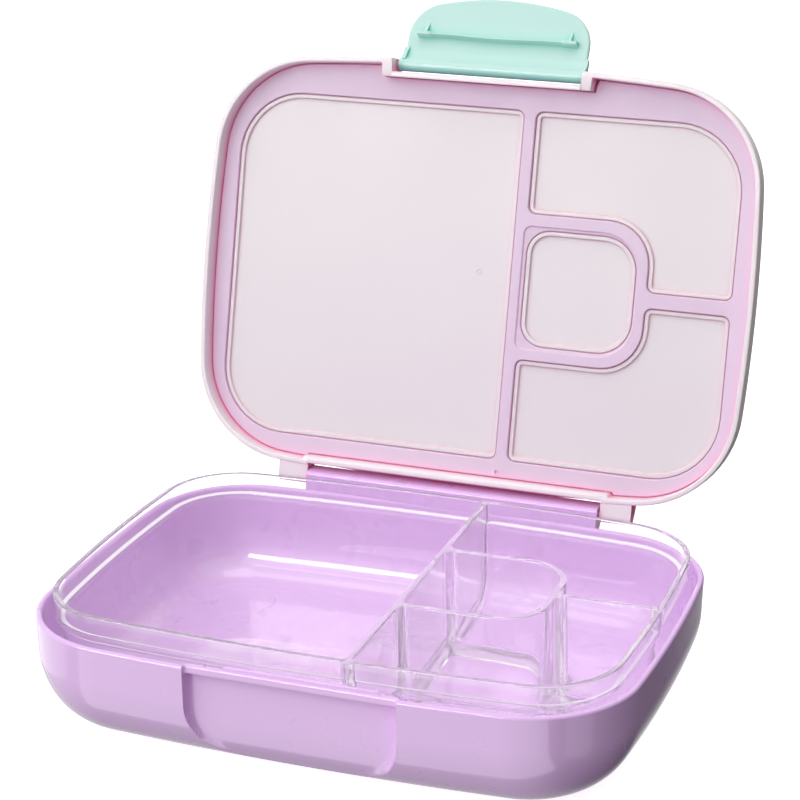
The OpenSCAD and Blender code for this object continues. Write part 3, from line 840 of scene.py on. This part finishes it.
# radius and height of the small peg over the hinge, and of the gate mark on the large field
PEG, PEG_AT = ((1.5, 0.0), (1.35, -0.12), (1.15, -0.15), (0.95, -0.1), (0.8, 0.1), (0.75, 0.7)), (15.6, 72.4)
GATE, GATE_AT = ((1.5, 0.0), (1.3, 0.06), (1.1, 0.22), (0.6, 0.24), (0.45, 0.1), (0.3, 0.04)), (1.8, -1.6)


def make_seal():
    b = Build()
    edge_d, front, rear = 2.62, -71.95, 74.4
    rim = ((edge_d, 1.55), (edge_d, 0.5), (2.7, 0.2), (2.9, 0.04), (3.15, 0))
    back, face = b.loft([
        at(edge_line(d, front + (d - edge_d), rear - (d - edge_d)), SEAL_Z + h) for d, h in rim
    ])

    def opening(shape, profile):
        return b.loft([at(soft_poly(*shape, d), SEAL_Z + h) for d, h in profile])

    mouths, backs = [], []
    for shape in WINDOWS:
        first, last = opening(shape, WINDOW_EDGE)
        mouths.append(first)
        backs.append(last)
    first, step = opening(MIDDLE_FRONT, MIDDLE_FRONT_EDGE)
    mouths.append(first)
    inner, last = opening(MIDDLE_BACK, MIDDLE_BACK_EDGE)
    b.fill(step, inner)
    backs.append(last)
    first, last = b.loft([at(circle(PEG_AT, r, 20), SEAL_Z + h) for r, h in PEG])
    mouths.append(first)
    b.fill(last)
    b.fill(face, *mouths)
    b.fill(back, *backs)
    finish_mesh("lid_seal_body", b, seal_mat, "lid", ["lid_seal"], LID, sharp=55)


def make_liner():
    b = Build()
    back = SEAL_Z + SEAL_T
    lip = back - 0.75
    # inset and height across the edge of a field: under the seal, over a lip, and down to the field
    side = ((-0.9, back + 0.05), (0.02, back + 0.05), (0.08, back + 0.2), (0.26, back + 0.2),
            (0.32, lip + 0.15), (0.42, lip + 0.02), (0.6, lip), (1.55, lip), (1.7, lip + 0.04),
            (1.8, lip + 0.2), (1.88, FIELD_Z - 0.15), (2.0, FIELD_Z - 0.02), (2.3, FIELD_Z))
    for i, shape in enumerate(WINDOWS + [MIDDLE_BACK]):
        rim = b.loft([at(soft_poly(*shape, d), z) for d, z in side])[1]
        if i == 0:
            first, last = b.loft([at(circle(GATE_AT, r, 24), FIELD_Z + h) for r, h in GATE])
            b.fill(last)
            b.fill(rim, first)
        else:
            b.fill(rim)
    # rim of the lining, behind the seal
    rear_loop = b.loft([at(edge_line(4.0, -71.3, 73.7), z) for z in (back + 0.06, 48.85)])[1]
    b.fill(rear_loop)
    finish_mesh("lid_liner_body", b, field, "lid", ["lid_liner"], LID, sharp=50)


make_lid()
make_ears()
make_seal()
make_liner()


# ---------------------------------------------------------------- latch
def latch_plan(d):
    """Outline of the latch plate in x and z: straight sides, round corners, bowed lower edge."""
    half, corner, bow, top, gap = LATCH_W / 2, 14.0, 105.0, -3.4, 0.8
    low = bow - LATCH_L
    # the corners' centres lie this far under the centre of the bowed edge
    drop = math.sqrt((bow - corner) ** 2 - (half - corner) ** 2)
    a = math.atan2(-drop, half - corner)
    pts = [(half - d, z) for z in spread(top - d, low - drop + gap, 8)]
    pts += arc_pts((half - corner, low - drop), corner - d, 0, a, 20)
    pts += arc_pts((0, low), bow - d, a, -math.pi - a, 30)[1:-1]
    pts += arc_pts((corner - half, low - drop), corner - d, -math.pi - a, -math.pi, 20)
    pts += [(d - half, z) for z in spread(low - drop + gap, top - d, 8)]
    return pts


def from_pivot(points):
    """A (y, z) path measured from the latch's pivot."""
    return [(LATCH_Y + y, LATCH_Z + z) for y, z in points]


def make_latch_plate():
    b = Build()
    front = LATCH_Y - 3.2
    # inset and depth from the front face to the back, which is hollowed a little
    profile = ((1.1, 0.0), (0.6, 0.1), (0.2, 0.42), (0, 0.9), (0, 1.3), (0.15, 1.75), (0.5, 2.1),
               (1.0, LATCH_T), (1.8, 2.16), (2.6, 2.05))
    b.closed_loft([[(x, front + y, LATCH_Z + z) for x, z in latch_plan(d)] for d, y in profile])
    finish_mesh("latch_plate", b, mint, "latch", ["latch"], LATCH, sharp=50)


def make_latch_barrel():
    b = Build()
    barrel_r, hole_r = 2.5, 1.25
    arc = arc_pts((LATCH_Y, LATCH_Z), barrel_r, math.radians(-68), math.radians(158), 32)
    web = from_pivot([(-2.9, -1.0), (-3.18, -3), (-3.1, -7), (-1.15, -7.4), (-0.9, -5.6), (-0.3, -4.0)])
    b.prism(arc + web, -36.15, 36.0, [circle((LATCH_Y, LATCH_Z), hole_r, 24)])
    finish_mesh("latch_barrel", b, mint, "latch", (), LATCH, bevel=0.35)


def make_latch_claw():
    """Claw, bowed a little towards the pivot and thicker at its ends, with gussets and a stop."""
    b = Build()
    rings = []
    for x in spread(-31.2, 31.2, 120):
        tab = smooth(25.2, 26.4, abs(x))
        z = -12.45 + 0.45 * smooth(20, 2, abs(x))
        tip = 1.75 + 0.45 * tab
        thick = 0.32 + 0.42 * tab
        rings.append(across(x, from_pivot([
            (-1.5, z - 1.4), (-0.6, z - thick - 0.35), (tip - 0.25, z - thick), (tip, z - thick + 0.22),
            (tip, z + thick - 0.22), (tip - 0.25, z + thick), (-0.6, z + thick + 0.08), (-1.5, z + 1.2),
        ])))
    b.closed_loft(rings)
    gusset = from_pivot([(-1.5, -19.0), (-0.7, -16.6), (1.7, -12.8), (1.9, -11.9), (-1.5, -11.6)])
    gusset_x, half = 28.2, 0.45
    for side in (-1, 1):
        b.prism(gusset, side * gusset_x - half, side * gusset_x + half)
    # little stop on the left end of the barrel
    b.prism(from_pivot([(-1.3, -8.2), (1.2, -4.6), (2.3, -1.6), (-0.6, -1.6)]), -35.0, -34.0)
    finish_mesh("latch_claw", b, mint, "latch", (), LATCH, sharp=45)


make_latch_plate()
make_latch_barrel()
make_latch_claw()

for name in ("hinge_pin_left", "hinge_pin_right", "latch_pin"):
    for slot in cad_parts[name].material_slots:
        slot.material = steel_mat


# ---------------------------------------------------------------- floor, light and camera, in metres
def sheet(name, width, height, z, material):
    """A rectangle round the object's own origin, which rides on no body."""
    me = bpy.data.meshes.new(name)
    w, h = width / 2, height / 2
    me.from_pydata([(-w, -h, z), (w, -h, z), (w, h, z), (-w, h, z)], [], [(0, 1, 2, 3)])
    me.materials.append(material)
    ob = bpy.data.objects.new(name, me)
    bpy.context.scene.collection.objects.link(ob)
    return ob


def glowing(name, grey, strength):
    m, _, b = new_material(name)
    b.inputs["Base Color"].default_value = (grey, grey, grey, 1)
    b.inputs["Emission Color"].default_value = (1, 1, 1, 1)
    b.inputs["Emission Strength"].default_value = strength
    return m, b


floor_mat, floor_bsdf = glowing("floor_white", 0.62, 0.8)
floor_bsdf.inputs["Roughness"].default_value = 0.9
floor_bsdf.inputs["Specular IOR Level"].default_value = 0.1
floor = sheet("floor", 12.0, 12.0, -5e-5, floor_mat)
floor.visible_glossy = False
floor.visible_diffuse = False

# white room, dark low on the right and dimmer underneath
world = bpy.data.worlds.new("studio")
bpy.context.scene.world = world
world.use_nodes = True
wt = world.node_tree
direction = add(wt, "ShaderNodeTexCoord").outputs["Generated"]
height = split(wt, direction).outputs["Z"]
to_right = add(wt, "ShaderNodeVectorMath", operation="DOT_PRODUCT")
wt.links.new(direction, to_right.inputs[0])
to_right.inputs[1].default_value = (0.97, 0.22, 0.0)


def soft_step(value, a, b, lo, hi):
    return ramp(wt, value, lo, hi, a, b, interpolation_type="SMOOTHSTEP")


low_right = calc(wt, "MULTIPLY", soft_step(to_right.outputs["Value"], 0.0, 0.45, 0, 1),
                 soft_step(height, 0.3, 0.6, 1, 0))
white = calc(wt, "MULTIPLY_ADD", low_right, -0.78, 0.82)
background = wt.nodes["Background"]
strength = calc(wt, "MULTIPLY", white, soft_step(height, -0.9, -0.5, 0.6, 1))
wt.links.new(strength, background.inputs["Strength"])
background.inputs["Color"].default_value = (1, 1, 1, 1)


def area(name, loc, target_z, size, power):
    """A square lamp aimed at a point over the origin, which doesn't show in reflections."""
    lamp = bpy.data.lights.new(name, "AREA")
    lamp.shape = "RECTANGLE"
    lamp.size = size
    lamp.size_y = size
    lamp.energy = power
    ob = bpy.data.objects.new(name, lamp)
    ob.location = loc
    ob.rotation_euler = (Vector((0, 0, target_z)) - Vector(loc)).to_track_quat("-Z", "Y").to_euler()
    bpy.context.scene.collection.objects.link(ob)
    ob.visible_glossy = False


area("key", (-1.0, -0.9, 1.2), 0.05, 0.9, 5)
area("back", (0.3, 1.4, 0.5), 0.1, 1.0, 9)
area("top", (-0.1, -0.1, 1.6), 0.05, 1.0, 6.5)
area("front", (-0.2, -1.2, 1.1), 0.05, 0.8, 4)


def card(name, azimuth, elevation, distance, width, height, strength):
    """A white card that only shows in reflections."""
    a, e = math.radians(azimuth), math.radians(elevation)
    heading = Vector((math.cos(e) * math.cos(a), math.cos(e) * math.sin(a), math.sin(e))).normalized()
    material = glowing(name, 0, strength)[0]
    material.cycles.emission_sampling = "NONE"
    ob = sheet(name, width, height, 0, material)
    ob.location = heading * distance
    ob.rotation_euler = heading.to_track_quat("Z", "Y").to_euler()
    ob.visible_camera = False
    ob.visible_diffuse = False
    ob.visible_transmission = False
    ob.visible_shadow = False


card("card_front", -98, -34, 1.2, 2.0, 1.5, 1.9)
card("card_left", 172, -8, 1.2, 1.5, 0.9, 1.3)
card("card_right", -22, -24, 1.2, 0.5, 0.5, 0.6)
card("card_bar", -116, 28, 1.5, 1.2, 0.36, 14.0)

# camera, placed so that the rims, the lid and the latch lie where the photograph has them
lens = bpy.data.cameras.new("camera")
lens.sensor_width = 36
lens.lens = 109.25
lens.shift_x = -0.01173
lens.shift_y = -0.01245
lens.clip_end = 20
camera = bpy.data.objects.new("camera", lens)
camera.location = (0.2780, -0.7213, 0.3875)
camera.rotation_mode = "QUATERNION"
camera.rotation_quaternion = (0.805301, 0.566689, 0.102188, 0.141112)
bpy.context.scene.collection.objects.link(camera)
bpy.context.scene.camera = camera

bpy.context.scene.view_settings.view_transform = "Standard"
bpy.context.scene.view_settings.look = "None"
# enough bounces for a ray to cross every wall of the clear tray
cycles = bpy.context.scene.cycles
cycles.caustics_reflective = True
cycles.max_bounces = 28
cycles.glossy_bounces = 24
cycles.transmission_bounces = 24
cycles.transparent_max_bounces = 16

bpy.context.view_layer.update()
